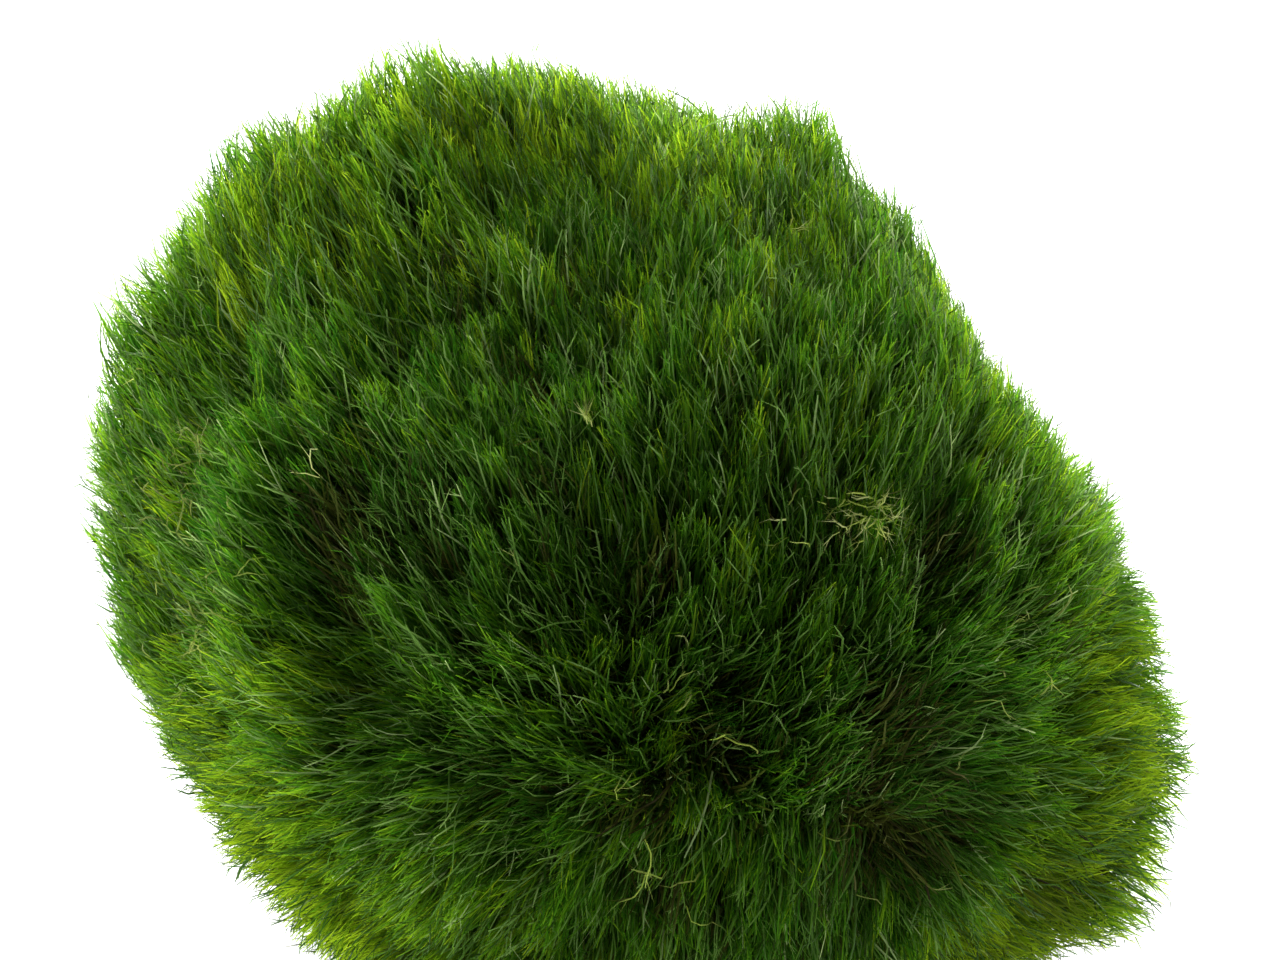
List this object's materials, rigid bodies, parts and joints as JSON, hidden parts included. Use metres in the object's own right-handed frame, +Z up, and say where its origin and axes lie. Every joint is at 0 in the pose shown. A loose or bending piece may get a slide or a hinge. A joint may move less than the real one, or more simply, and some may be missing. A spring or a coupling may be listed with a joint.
{
  "type": "marimo moss ball",
  "caption": "Soft round ball of green filamentous alga, grown as one lump, which lies on the bottom of an aquarium or a jar of water and rests on a small flat spot.",
  "frame": {"origin": "middle of the bounding box in plan, at the level of the flat spot the ball rests on", "axes": "+Z up, -Y towards the ball's front, where the filaments part at a whorl, +X to the right seen from the front"},
  "size_m": [0.052, 0.051, 0.0496],
  "materials": {
    "moss": "fine wet filaments, deep green inside, bright yellow-green at the tips"
  },
  "bodies": {
    "root": {"moss_ball": "moss"}
  },
  "joints": []
}
